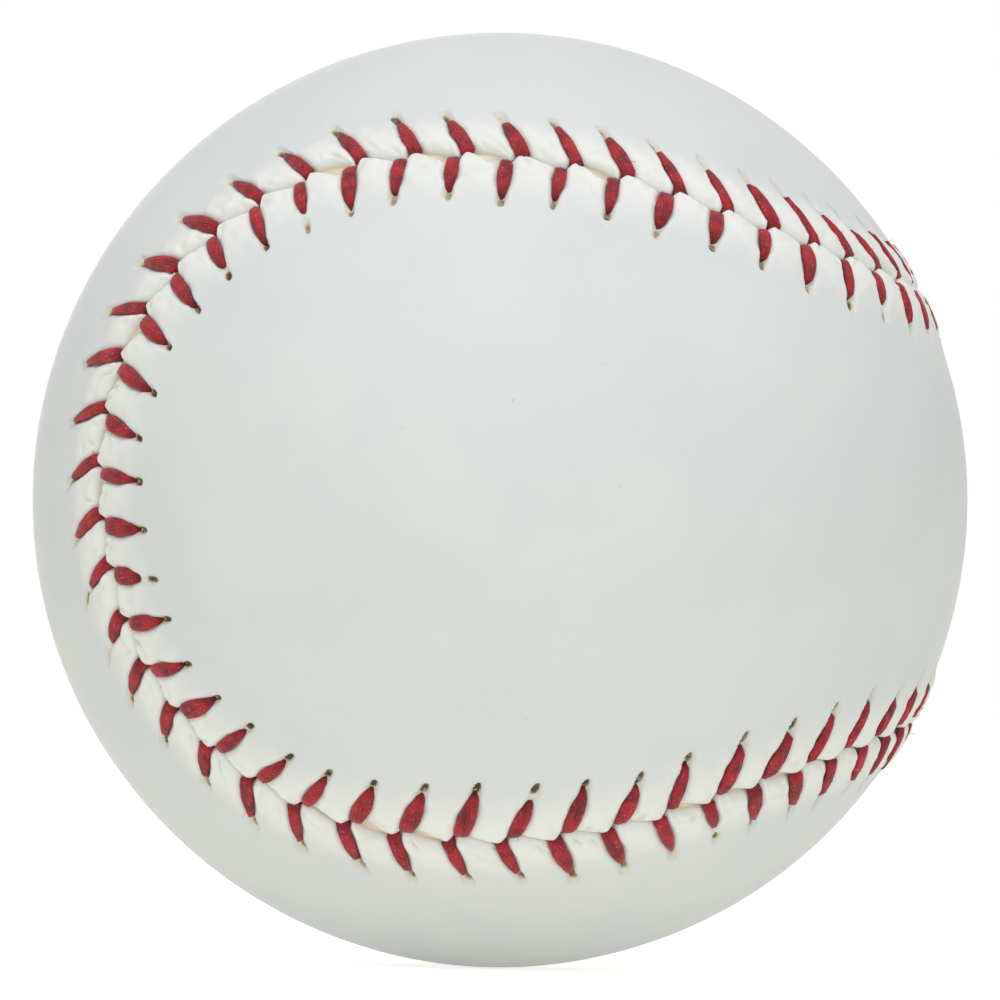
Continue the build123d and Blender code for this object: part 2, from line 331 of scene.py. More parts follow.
# Heights on the ball over which the holes are painted lighter, as if lit from above
UPPER_LIT_SIDE = (0.1, 0.6)
LEAF_RANGE, PUFF_RANGE, PARTED_RANGE = (0.80, 1.13), (0.65, 1.25), (0.45, 0.95)
RIDGE_RANGE, WRINKLE_RANGE, WRINKLE_TILT = (0.03, 0.15), (0.8, 2.0), 0.35
WRINKLE_DEPTH, WRINKLED_RANGE = 0.58, (0.35, 0.9)
FOLD_PLACES = (-0.75 * MM, 0.70 * MM, -1.45 * MM, 1.40 * MM)


class Sewing:
    """Where each stitch of a panel starts, leans and ends, with the sewer's small unevenness."""

    def __init__(self, sizes, seam, side):
        leg, count = LEGS[side], sizes.stitch_count
        hand = np.random.default_rng(sizes.seed + leg.hand)
        self.leg, self.count = leg, count
        self.pitch = seam.length / count
        start = (np.arange(count) + sizes.stitch_phase) * self.pitch
        first_pull = np.cos(4 * pi * (start + FIRST_SWING_START) / seam.length)
        second_pull = np.cos(2 * pi * (start + SECOND_SWING_START) / seam.length)
        first_lead = sizes.stitch_lead + sizes.lead_swing * first_pull
        second_lead = sizes.second_lead - sizes.lead_swing * SECOND_SWING * second_pull
        crossing = start + first_lead
        follow = sizes.needle_offset - CLOSE_BY * seam.beside(start, CLOSE_PLACE, CLOSE_REACH)
        self.apex = (crossing if side > 0 else crossing + follow) + hand.normal(0, APEX_SPREAD, count)
        lead = first_lead if side > 0 else second_lead
        self.hole = self.apex - lead + hand.normal(0, HOLE_SPREAD, count)
        drift = seam.stray(self.apex, sizes.wander)
        self.end = leg.end + side * drift
        longer = sum(seam.beside(start, place, leg.long_reach) for place in leg.long_places)
        usual = sizes.hole_inset if side > 0 else sizes.second_inset
        self.inset = usual + leg.drift_share * drift + leg.long_by * longer
        self.inset += hand.normal(0, INSET_SPREAD, count)
        self.eye = self.inset + sizes.slit_length * hand.uniform(*EYE_START, count)
        self.eye_reach = sizes.slit_length * hand.uniform(*EYE_REACH, count)
        self.eye_width = hand.uniform(*EYE_WIDTH, count) * MM
        short = hand.random(count) < SHORT_STITCHES
        self.inset -= np.where(short, hand.uniform(*SHORT_BY, count) * MM, 0)
        # Painted shade in each open hole, lighter on the upper side of the ball where the light falls from
        # above
        self.eye_tone = hand.uniform(*leg.eye_tones, count)
        upward = seam.place(self.hole, side * self.eye, 1.0)[:, 2]
        self.eye_tone *= 1 - leg.upper_fade * smooth(*UPPER_LIT_SIDE, upward)
        self.leaf = sizes.leaf_width / 2 * hand.uniform(*LEAF_RANGE, count) * leg.leaf_share
        self.puff = sizes.puff * hand.uniform(*PUFF_RANGE, count)
        self.crease = hand.uniform(0, 2 * pi, (count, len(FOLD_PLACES)))
        self.parted = smooth(*PARTED_RANGE, hand.random(count))
        self.ridge = hand.uniform(*RIDGE_RANGE, count) * leg.ridge_share * MM
        self.wrinkle = hand.uniform(*WRINKLE_RANGE, count) * MM
        self.wrinkle_tilt = hand.normal(0, WRINKLE_TILT, count)
        self.wrinkle_depth = WRINKLE_DEPTH * smooth(*WRINKLED_RANGE, hand.random(count))

    def along(self, number, inset):
        """How far along its leg a stitch is at an inset: 0 at its hole, 1 at the seam."""
        return (self.inset[number] - inset) / (self.inset[number] - self.end[number])

    def leaf_half(self, along):
        """Half width of a stitch along its leg, as part of its widest."""
        leg = self.leg
        swelling = leg.belly * smooth(LEAF_START, leg.belly_place, along)
        return leg.hole_width + swelling - leg.taper * smooth(leg.taper_place, LEAF_STOP, along)

    def near(self, distance, seam_length):
        """Numbers of the stitches near each distance, with their offsets round the seam."""
        first = np.floor((distance - self.hole[0]) / self.pitch).astype(int)
        for step in (-1, 0, 1, 2):
            number = first + step
            yield number % self.count, (number // self.count) * seam_length


# The opening between two stitches, in shares of the way from one to the next, and its notches
LINE_LEAVES, LINE_RETURNS = (0, 0.13), (0.90, 1.0)
LENS_START, LENS_RUN, LENS_LEAN, LENS_FULLNESS = 0.06, 0.86, 1.8, 0.8
NOTCH, NOTCH_REACH = 0.20 * MM, 0.34 * MM

# Slow waves of the wound ball under the cover, and the fine unevenness of the hide
SWAY = 0.035 * MM
SWAY_WAVES = (((3.1, 2.2, -2.7), 0.6), ((-4.3, 3.7, 2.9), 2.1), ((6.1, -5.2, 4.4), 4.0))
PUCKER, PUCKER_WAVES, PUCKER_RANGE = 0.016 * MM, 12, (0.9, 2.4)
PUCKER_RISE, PUCKER_FALL = (0.1 * MM, 0.9 * MM), (2.0 * MM, 6.0 * MM)

# How a stitch presses, pulls and creases the leather round it
LIFT_FLAT = 0.8 * MM
GROOVE_SHARE, GROOVE_WALL, GROOVE_START = 1.10, 3.5, (-0.34, -0.06)
BESIDE_LEAF, CALM_START = 0.42 * MM, (-0.5, 0.1)
EYE_SQUARENESS, EYE_WALL, EYE_IN_GROOVE = 2.5, (0.48, 1.20), 0.4
SWELL_NARROWNESS = 2.2
BULGE_RISE, BULGE_FALL = (0, 1.0 * MM), (2.4 * MM, 5.0 * MM)
RIDGE_WIDTH, RIDGE_START, RIDGE_RISE = 0.28 * MM, (0.0, 0.4), (0.1 * MM, 0.8 * MM)
WRINKLE_WIDTH, WRINKLE_REACH = 0.21 * MM, 1.1 * MM
FOLD_WIDTH, FOLD_REACH, FOLD_LEAN, FOLD_PIVOT = 0.17 * MM, 0.55 * MM, 0.7, 0.6 * MM
FOLD_DEPTH, FOLD_DEPTH_SPREAD = 0.6, 0.4
FOLD_MIDDLE, FOLD_MIDDLE_SPREAD = 0.55, 0.35
# Creases are pressed into the leather and also darkened in colour as painted shade
CREASE_DEPTH, CREASE_RISE, CREASE_SHADE_SHARE = 0.40 * MM, (0.10 * MM, 0.65 * MM), 0.8

# Rows and columns of the sewn band, as distances from the panel's edge
COLUMNS_PER_STITCH = 24
COARSE = 4
EDGE_STEPS = np.array((0, 0.02, 0.06, 0.12, 0.20, 0.30, 0.42, 0.55)) * MM
FINE_STEPS = np.arange(0.74 * MM, 5.7 * MM, 0.205 * MM)
LAST_STEPS = np.array((6.0, 6.5)) * MM
BAND_END = 7.0 * MM
BAND_ROWS = np.concatenate((EDGE_STEPS, FINE_STEPS, LAST_STEPS, (BAND_END,)))


class Leather:
    """The outer face of one sewn panel: heights over the ball and masks for its finish."""

    def __init__(self, sizes, seam, side):
        self.sizes, self.seam, self.side = sizes, seam, side
        self.own = Sewing(sizes, seam, side)
        self.first, self.second = Sewing(sizes, seam, 1), Sewing(sizes, seam, -1)

    def edge(self, distance):
        """Inset of this panel's edge and half the opening, along the seam."""
        sizes, lead = self.sizes, self.first
        meet = lead.apex + sizes.needle_offset / 2
        trip = np.concatenate((meet[-1:] - self.seam.length, meet, meet[:1] + self.seam.length))
        place = np.searchsorted(trip, distance, side="right") - 1
        share_run = (distance - trip[place]) / (trip[place + 1] - trip[place])
        number = (place - 1) % lead.count
        saw = sizes.edge_low + (sizes.edge_high - sizes.edge_low) * share_run
        middle = (sizes.edge_low + sizes.edge_high) / 2
        near_meet = smooth(*LINE_LEAVES, share_run) * (1 - smooth(*LINE_RETURNS, share_run))
        line = middle + (saw - middle) * near_meet + self.seam.stray(distance, sizes.wander)
        lens_share = np.clip((share_run - LENS_START) / LENS_RUN, 0, 1)
        lens = np.sin(pi * lens_share**LENS_LEAN) ** LENS_FULLNESS
        opening = sizes.gap + sizes.parting * lead.parted[number] * lens
        for sewing in (self.first, self.second):
            for stitch, round_trip in sewing.near(distance, self.seam.length):
                opening += NOTCH * hump(distance - sewing.apex[stitch] - round_trip, NOTCH_REACH)
        return self.side * line + opening / 2, opening / 2

    def lift(self, inset):
        """How far the leather stands up towards the seam."""
        return self.sizes.seam_lift * (1 - smooth(LIFT_FLAT, self.sizes.lift_width, inset))

    def sway(self, points):
        """Slow unevenness of the wound ball under the cover, inwards only."""
        wave = sum(np.sin(points @ way + phase) for way, phase in SWAY_WAVES)
        return -SWAY * (wave / len(SWAY_WAVES) + 1)

    def pucker(self, points):
        """Fine unevenness of the hide where the sewing pulls it."""
        hand = np.random.default_rng(self.sizes.seed)
        wave = np.zeros(len(points))
        for _ in range(PUCKER_WAVES):
            across = unit(hand.normal(size=3)) * 2 * pi / (hand.uniform(*PUCKER_RANGE) * MM)
            wave += np.sin(points @ across + hand.uniform(0, 2 * pi))
        return PUCKER * wave

    def slit(self, number, off, inset):
        """How far each place is inside the open needle hole of a stitch."""
        own = self.own
        across = np.abs(off / own.eye_width[number])
        reach = np.abs((inset - own.eye[number]) / own.eye_reach[number])
        ring = (across**EYE_SQUARENESS + reach**EYE_SQUARENESS) ** (1 / EYE_SQUARENESS)
        return 1 - smooth(*EYE_WALL, ring)

    def creases(self, number, off, past):
        """The wrinkle across the leather between two stitches, then its short folds one by one."""
        own = self.own
        from_middle = off - own.pitch / 2
        wrinkle = (past - own.wrinkle[number] - own.wrinkle_tilt[number] * from_middle) / WRINKLE_WIDTH
        yield own.wrinkle_depth[number] * np.exp(-(wrinkle**2) - (from_middle / WRINKLE_REACH) ** 2)
        for strand, place in enumerate(FOLD_PLACES):
            phase = own.crease[number, strand]
            line = off - place - np.cos(phase) * FOLD_LEAN * (past - FOLD_PIVOT)
            fold = hump(line, FOLD_WIDTH) * (FOLD_DEPTH + FOLD_DEPTH_SPREAD * np.sin(3 * phase))
            middle = (FOLD_MIDDLE + FOLD_MIDDLE_SPREAD * np.sin(phase)) * MM
            yield fold * hump(past - middle, FOLD_REACH)

    def face(self, distance, inset, past):
        """Height, a mask of painted shade in the open holes, and a mask of staining by the thread with
        painted shade in the creases, at places on the band.
        """
        sizes, own = self.sizes, self.own
        calm = np.ones_like(distance)
        groove, slit, hole_shade_level, crease, swell, ridge = (np.zeros_like(distance) for _ in range(6))
        for number, round_trip in own.near(distance, self.seam.length):
            hole, apex = own.hole[number] + round_trip, own.apex[number] + round_trip
            along = own.along(number, inset)
            off = distance - hole - (apex - hole) * along
            half = own.leaf[number] * own.leaf_half(np.clip(along, 0, 1))
            pressed = np.exp(-np.abs(off / (half * GROOVE_SHARE)) ** GROOVE_WALL)
            groove = np.maximum(groove, pressed * smooth(*GROOVE_START, along))
            calm *= 1 - hump(off, half + BESIDE_LEAF) * smooth(*CALM_START, along)
            opened = self.slit(number, off, inset)
            slit = np.maximum(slit, opened)
            # Painted shade in the open hole, its depth of colour differing stitch by stitch
            hole_shade_level = np.maximum(hole_shade_level, opened * own.eye_tone[number])
            from_stitch = (off / own.pitch - 0.5) * SWELL_NARROWNESS
            swell = np.maximum(swell, own.puff[number] * np.exp(-(from_stitch**2)))
            beside = hump(off + half + BESIDE_LEAF, RIDGE_WIDTH)
            ridge += own.ridge[number] * beside * smooth(*RIDGE_START, along)
            for line in self.creases(number, off, past):
                crease += line
        bulge = smooth(*BULGE_RISE, past) * (1 - smooth(*BULGE_FALL, past))
        height = self.lift(inset) + swell * bulge * calm - sizes.groove * groove
        height -= sizes.hole_depth * slit * (1 - EYE_IN_GROOVE * groove)
        crease *= smooth(*CREASE_RISE, past)
        height += ridge * smooth(*RIDGE_RISE, past) - CREASE_DEPTH * crease * calm
        # The last mask holds the staining along the thread grooves and painted shade in the creases
        return height, hole_shade_level, np.maximum(groove, CREASE_SHADE_SHARE * np.clip(crease * calm, 0, 1))

    def rounding(self, past):
        """How far the leather turns down into the seam at a distance from its edge."""
        share_left = np.clip(1 - past / self.sizes.edge_round, 0, 1)
        return self.sizes.edge_round * (1 - np.sqrt(1 - share_left**2))

    def band(self, distance, edge, past):
        """Points of one row of the sewn band, with its masks for painted shade in the holes and for staining
        by the thread with painted shade in the creases.
        """
        inset = edge * (1 - past / BAND_END) + past
        height, hole, rub_and_crease_shade = self.face(distance, inset, past)
        height = height - self.rounding(np.full_like(edge, past))
        points = self.seam.place(distance, self.side * inset, self.sizes.ball_radius + height)
        pulled = smooth(*PUCKER_RISE, past) * (1 - smooth(*PUCKER_FALL, past))
        points += unit(points) * (self.sway(unit(points)) + pulled * self.pucker(points))[:, None]
        return points, hole, rub_and_crease_shade


# Masks: cut leather, painted shade in the holes, staining by the thread with painted shade in the creases,
# and whiter hide near the seam that is partly painted highlight
MASKS = ("raw", "hole", "rub_and_crease_shade", "taut_and_highlight")


class MeshStore:
    """Points, faces and masks of one piece, gathered row by row."""

    def __init__(self):
        self.points, self.faces, self.masks, self.size = [], [], [], 0

    def row(self, points, raw=0.0, hole=0.0, rub_and_crease_shade=0.0, taut_and_highlight=0.0):
        count = len(points)
        self.points.append(points)
        masks = (raw, hole, rub_and_crease_shade, taut_and_highlight)
        self.masks.append(np.column_stack([np.broadcast_to(np.asarray(m, float), count) for m in masks]))
        numbers = np.arange(self.size, self.size + count)
        self.size += count
        return numbers

    def strip(self, low, high):
        self.faces += np.column_stack((low, np.roll(low, -1), np.roll(high, -1), high)).tolist()

    def narrow(self, fine, coarse):
        """Join a fine ring to one with fewer points, a many-sided face for each coarse step."""
        ring = fine.reshape(-1, len(fine) // len(coarse))
        ends = np.roll(ring[:, 0], -1)
        ahead = np.roll(coarse, -1)
        self.faces += np.column_stack((ring, ends, ahead, coarse)).tolist()

    def build(self, name, material):
        mesh = bpy.data.meshes.new(name)
        mesh.from_pydata(np.concatenate(self.points), [], self.faces)
        masks = np.concatenate(self.masks)
        for number, mask in enumerate(MASKS):
            store = mesh.attributes.new(mask, "FLOAT", "POINT")
            store.data.foreach_set("value", masks[:, number].astype(np.float32))
        mesh.materials.append(material)
        mesh.shade_smooth()
        mesh.validate()
        mesh.update()
        piece = bpy.data.objects.new(name, mesh)
        bpy.context.scene.collection.objects.link(piece)
        return piece


MIDDLE_POINTS = 7600
MIDDLE_CLEAR = 1.2 * MM
TRAIL_STEP = 0.5 * MM
INSIDE_ONLY, MERGE_NEARER = 1, 1e-9


def even_ball(count):
    """Points spread evenly over a ball of radius one, each turned a golden angle from the last."""
    step = np.arange(count) + 0.5
    tall = 1 - 2 * step / count
    wide = np.sqrt(1 - tall**2)
    turn = step * pi * (3 - sqrt(5))
    return np.column_stack((wide * np.cos(turn), wide * np.sin(turn), tall))


def hide_middle(seam, side, ring):
    """Even points over the middle of a panel, and triangles that join them to its ring."""
    ball = even_ball(MIDDLE_POINTS)
    point, _, inward = seam.frame(np.arange(0, seam.length, TRAIL_STEP))
    closest = np.argmax(ball @ point.T, axis=1)
    within = np.sum(ball * inward[closest], axis=1) * side
    middle = ball[np.arcsin(np.clip(within, -1, 1)) * seam.radius > BAND_END + MIDDLE_CLEAR]
    flat = np.concatenate((unit(ring), middle))
    flat = flat[:, 1:] / (1 + side * flat[:, :1])
    right, up = flat[: len(ring)].T
    area = np.sum(right * np.roll(up, -1) - up * np.roll(right, -1))
    order = list(range(len(ring)))
    outline = order if area > 0 else order[::-1]
    corners = [Vector(place) for place in flat]
    _, _, faces, sources, _, _ = delaunay_2d_cdt(corners, [], [outline], INSIDE_ONLY, MERGE_NEARER)
    return middle, [[sources[corner][0] for corner in face] for face in faces]


# The cut edge: its bevel, its rows as shares of the bevel and depths, and where it shows bare
FIRST_BEVEL, SECOND_BEVEL_SHARE = 0.02 * MM, 1.92
CUT_ROWS = ((1.0, 0.30 * MM), (0.5, 0.10 * MM))
BARE_OPENING, BARE_PAST = (0.08 * MM, 0.20 * MM), (0, 0.10 * MM)
# Where the whiter seam band, partly tight hide and partly painted highlight, fades out from the edge
TAUT_HIGHLIGHT_PAST = (1.2 * MM, 5.4 * MM)

# The ring round the open middle, and the flesh side as insets and heights over the wound ball
RING_STEP = 0.55 * MM
FLESH_ROWS = ((0.6 * MM, 0.62 * MM), (2.6 * MM, 0.62 * MM), (5.0 * MM, 0.62 * MM), (6.4 * MM, 0.05 * MM))
FLESH_CLEAR = 0.02 * MM


def sewn_band(store, leather, distance):
    """Rows of the cut edge and of the sewn band beside it. Gives back the lowest and the last."""
    side = leather.side
    edge, half_opening = leather.edge(distance)
    lip, _, _ = leather.band(distance, edge, 0.0)
    lip_radius = np.linalg.norm(lip, axis=1)
    bevel = FIRST_BEVEL if side > 0 else SECOND_BEVEL_SHARE * half_opening
    bare = smooth(*BARE_OPENING, half_opening)
    rows = []
    for bevel_share, depth in CUT_ROWS:
        points = leather.seam.place(distance, side * (edge - bevel * bevel_share), lip_radius - depth)
        rows.append(store.row(points, raw=bare, taut_and_highlight=1.0))
    for past in BAND_ROWS:
        points, hole, rub_and_crease_shade = leather.band(distance, edge, past)
        raw = bare * (1 - smooth(*BARE_PAST, past))
        rows.append(store.row(points, raw=raw, hole=hole, rub_and_crease_shade=rub_and_crease_shade, taut_and_highlight=1 - smooth(*TAUT_HIGHLIGHT_PAST, past)))
    for inner, outer in zip(rows, rows[1:]):
        store.strip(inner, outer)
    return rows[0], rows[-1]


def cover_panel(name, node, side, sizes, seam, material):
    """One leather panel: sewn band, open middle, cut edge and the flesh side underneath."""
    leather = Leather(sizes, seam, side)
    store = MeshStore()
    columns = sizes.stitch_count * COLUMNS_PER_STITCH
    distance = np.arange(columns) * seam.length / columns
    lowest, last = sewn_band(store, leather, distance)
    sparse = distance[::COARSE]
    ring_inset = np.full_like(sparse, BAND_END + RING_STEP)
    ring_points = seam.place(sparse, side * ring_inset, sizes.ball_radius)
    ring_points += unit(ring_points) * leather.sway(unit(ring_points))[:, None]
    ring = store.row(ring_points)
    store.narrow(last, ring)
    middle, triangles = hide_middle(seam, side, ring_points)
    fill = store.row(middle * (sizes.ball_radius + leather.sway(middle))[:, None])
    flesh = [
        store.row(seam.place(sparse, side * inset, sizes.wound_radius + rise), raw=1.0)
        for inset, rise in (*FLESH_ROWS, (ring_inset, FLESH_CLEAR))
    ]
    flesh_fill = store.row(middle * (sizes.wound_radius + FLESH_CLEAR), raw=1.0)
    store.narrow(lowest, flesh[0])
    for first, second in zip(flesh, flesh[1:]):
        store.strip(first, second)
    for numbers in (np.concatenate((ring, fill)), np.concatenate((flesh[-1], flesh_fill))):
        store.faces += [numbers[face].tolist() for face in triangles]
    piece = store.build(name, material)
    turn_out(piece)
    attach(piece, "root")
    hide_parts(node)


def turn_out(piece):
    """Make every face of a closed piece look outwards."""
    body = bmesh.new()
    body.from_mesh(piece.data)
    bmesh.ops.recalc_face_normals(body, faces=body.faces)
    if body.calc_volume(signed=True) < 0:
        bmesh.ops.reverse_faces(body, faces=body.faces)
    body.to_mesh(piece.data)
    body.free()


def finish_material(name):
    """A new material with its emptied tree, and the piece's own coordinates in that tree."""
    made = bpy.data.materials.new(name)
    made.use_nodes = True
    tree = made.node_tree
    tree.nodes.clear()
    return made, tree, add(tree, "ShaderNodeTexCoord").outputs["Object"]


def surface(tree, sockets):
    """Close a finish with its shader."""
    shader = add(tree, "ShaderNodeBsdfPrincipled", sockets)
    add(tree, "ShaderNodeOutputMaterial", {"Surface": shader.outputs[0]})


def worked(tree, kind, first, second=0.0):
    """One step of arithmetic."""
    return add(tree, "ShaderNodeMath", {0: first, 1: second}, operation=kind).outputs[0]


def mixed(tree, factor, first, second):
    """The first colour at a factor of nothing, the second at one."""
    return add(tree, "ShaderNodeMix", {0: factor, 6: first, 7: second}, data_type="RGBA").outputs[2]


def ramp(tree, value, low, high):
    """Nothing below the low end, one above the high end, and an even rise between."""
    return add(
        tree, "ShaderNodeMapRange", {"Value": value, "From Min": low, "From Max": high},
        interpolation_type="SMOOTHSTEP",
    ).outputs["Result"]


def ranged(tree, value, start=0.0, stop=1.0, at_start=0.0, at_stop=1.0):
    """A straight change from one level to another while a value goes from start to stop."""
    return add(tree, "ShaderNodeMapRange", {
        "Value": value, "From Min": start, "From Max": stop, "To Min": at_start, "To Max": at_stop,
    }).outputs["Result"]


def noise(tree, place, scale, detail=2.0, rough=0.5):
    """Soft random patches."""
    return add(tree, "ShaderNodeTexNoise", {
        "Vector": place, "Scale": scale, "Detail": detail, "Roughness": rough,
    }).outputs["Fac"]


def bumped(tree, height, strength, depth):
    """Light and shade of small unevenness."""
    return add(tree, "ShaderNodeBump", {"Height": height, "Strength": strength, "Distance": depth}).outputs[0]


def told(tree, name):
    """A number that the mesh holds at each point."""
    return add(tree, "ShaderNodeAttribute", attribute_name=name).outputs["Fac"]


def leather_finish(colours):
    """White alum-tanned cowhide: faint clouds, pores, specks, cream where it is cut, whiter near the seam
    partly as painted highlight, painted shade in the needle holes and in the creases.
    """
    made, tree, place = finish_material("white_leather")
    raw, hole, rub_and_crease_shade, taut_and_highlight = (told(tree, mask) for mask in MASKS)
    cloud = ramp(tree, noise(tree, place, scale=85, detail=3), low=0.38, high=0.64)
    base = mixed(tree, cloud, rgba(colours.leather), rgba(colours.cloud))
    # Whiter near the seam: partly tight hide, partly painted highlight on the swollen leather
    base = mixed(tree, taut_and_highlight, base, rgba(colours.taut_and_highlight))
    speck = ramp(tree, noise(tree, place, scale=2400, detail=0), low=0.885, high=0.91)
    base = mixed(tree, worked(tree, "MULTIPLY", speck, 0.28), base, rgba(colours.speck))
    # Staining along the thread, and painted shade in the creases
    stain_and_crease_shade = worked(tree, "MULTIPLY", ramp(tree, rub_and_crease_shade, low=0.05, high=1.0), 0.14)
    base = mixed(tree, stain_and_crease_shade, base, rgba(colours.stain_and_crease_shade))
    fibres = noise(tree, place, scale=1400, detail=3)
    flesh = mixed(tree, fibres, rgba(colours.raw_edge), rgba(colours.raw_shade))
    base = mixed(tree, raw, base, flesh)
    # Raw flesh at the rim of a hole, then painted shade deep in it with lighter lint
    base = mixed(tree, ramp(tree, hole, low=0.18, high=0.40), base, flesh)
    lint = ramp(tree, noise(tree, place, scale=1900, detail=2), low=0.44, high=0.70)
    painted_hole_bottom = mixed(tree, lint, rgba(colours.hole_shade), rgba(colours.hole_lint))
    base = mixed(tree, ramp(tree, hole, low=0.38, high=0.76), base, painted_hole_bottom)
    pores = add(tree, "ShaderNodeTexVoronoi", {"Vector": place, "Scale": 1500}, feature="SMOOTH_F1")
    grain = worked(tree, "ADD", pores.outputs["Distance"], noise(tree, place, scale=3200, detail=3))
    polish = noise(tree, place, scale=300, detail=3)
    surface(tree, {
        "Base Color": base, "Roughness": ranged(tree, polish, at_start=0.50, at_stop=0.64),
        "Normal": bumped(tree, grain, strength=0.16, depth=0.08 * MM), "Specular IOR Level": 0.15,
    })
    return made


def thread_finish(colours):
    """Waxed red cotton: painted shade in the hollows of the twist and where the thread lies hidden, paler
    where the fibres are rubbed.
    """
    made, tree, place = finish_material("red_thread")
    # Painted shade of the twist's hollows, laid on in random patches
    twist_shade = ramp(tree, noise(tree, place, scale=900, detail=3), low=0.35, high=0.70)
    base = mixed(tree, twist_shade, rgba(colours.thread), rgba(colours.thread_shade))
    rubbed = ramp(tree, noise(tree, place, scale=5200, detail=2), low=0.60, high=0.74)
    base = mixed(tree, worked(tree, "MULTIPLY", rubbed, 0.65), base, rgba(colours.thread_light))
    # Painted shade where the thread lies hidden or near its hole
    base = mixed(tree, told(tree, "hollow"), base, rgba(colours.thread_shade))
    fibres = noise(tree, place, scale=6500, detail=2)
    surface(tree, {
        "Base Color": base, "Roughness": 0.62, "Specular IOR Level": 0.35,
        "Normal": bumped(tree, fibres, strength=0.35, depth=0.08 * MM),
        "Sheen Weight": 0.12, "Sheen Roughness": 0.4,
    })
    return made


LACING_INPUTS = (
    ("Run", "NodeSocketGeometry"), ("Plies", "NodeSocketInt"), ("Ply radius", "NodeSocketFloat"),
    ("Twist", "NodeSocketFloat"), ("Step", "NodeSocketFloat"), ("Finish", "NodeSocketMaterial"),
    ("Fuzz", "NodeSocketFloat"), ("Fuzz length", "NodeSocketFloat"), ("Seed", "NodeSocketInt"),
)
CURVE_STEPS, STRAND_SIDES, FIBRE_SIDES, FIBRE_STEPS = 8, 5, 3, 4
SLUB_RANGE, FIBRE_RANGE = (0.90, 1.10), (0.4, 1.2)
FIBRE_THICKNESS = 0.022
FIBRE_LEAN = (1.1, 1.1, 3.1)
FUZZY_BELOW = 0.25
FIBRE_BEND = {
    "Start": (0, 0, -0.1), "Start Handle": (0.05, 0, 0.2),
    "End Handle": (0.3, 0.05, 0.4), "End": (0.7, 0.1, 0.45),
}


def lacing_tree():
    """Strands twisted along a thread's run, flattened where the run says, with loose fibres."""
    tree = bpy.data.node_groups.new("lacing", "GeometryNodeTree")
    sockets = {
        label: tree.interface.new_socket(label, in_out="INPUT", socket_type=kind).identifier
        for label, kind in LACING_INPUTS
    }
    tree.interface.new_socket("Lacing", in_out="OUTPUT", socket_type="NodeSocketGeometry")
    given = add(tree, "NodeGroupInput").outputs
    strands, angle = twisted_strands(tree, given)
    tube = strand_tubes(tree, given, strands, angle)
    joined = add(tree, "GeometryNodeJoinGeometry", {"Geometry": tube})
    tree.links.new(loose_fibres(tree, given, tube), joined.inputs["Geometry"])
    whole_lacing = add(tree, "GeometryNodeRealizeInstances", {"Geometry": joined.outputs[0]}).outputs[0]
    finished = add(tree, "GeometryNodeSetMaterial", {"Geometry": whole_lacing, "Material": given["Finish"]})
    add(tree, "NodeGroupOutput", {0: finished.outputs[0]})
    return tree, sockets


def run_value(tree, name, kind="FLOAT"):
    """What the thread's run says at each of its points."""
    return add(tree, "GeometryNodeInputNamedAttribute", {"Name": name}, data_type=kind).outputs[0]


def vector(tree, kind, first, second=(0, 0, 0)):
    """One step of arithmetic on directions."""
    return add(tree, "ShaderNodeVectorMath", {0: first, 1: second}, operation=kind).outputs[0]


def stretched(tree, direction, amount):
    """A direction made as long as an amount says."""
    return add(tree, "ShaderNodeVectorMath", {0: direction, "Scale": amount}, operation="SCALE").outputs[0]


def random_value(tree, low, high, seed):
    """A random number for each element."""
    return add(tree, "FunctionNodeRandomValue", {2: low, 3: high, 8: seed}, data_type="FLOAT").outputs[1]


def twisted_strands(tree, given):
    """The run as a smooth curve, once for each strand, with the strand's angle round the run."""
    curve = add(tree, "GeometryNodeMeshToCurve", {"Mesh": given["Run"]}).outputs[0]
    curve = add(tree, "GeometryNodeCurveSplineType", {"Curve": curve}, spline_type="CATMULL_ROM").outputs[0]
    curve = add(tree, "GeometryNodeSetSplineResolution", {"Geometry": curve, "Resolution": CURVE_STEPS})
    curve = add(tree, "GeometryNodeResampleCurve", {
        "Curve": curve.outputs[0], "Length": given["Step"],
    }, mode="LENGTH")
    copies = add(tree, "GeometryNodeDuplicateElements", {
        "Geometry": curve.outputs[0], "Amount": given["Plies"],
    }, domain="SPLINE").outputs
    travelled = add(tree, "GeometryNodeSplineParameter").outputs["Length"]
    turned = worked(tree, "MULTIPLY", worked(tree, "DIVIDE", travelled, given["Twist"]), 2 * pi)
    number = copies["Duplicate Index"]
    spaced = worked(tree, "MULTIPLY", worked(tree, "DIVIDE", number, given["Plies"]), 2 * pi)
    return copies["Geometry"], worked(tree, "ADD", turned, spaced)


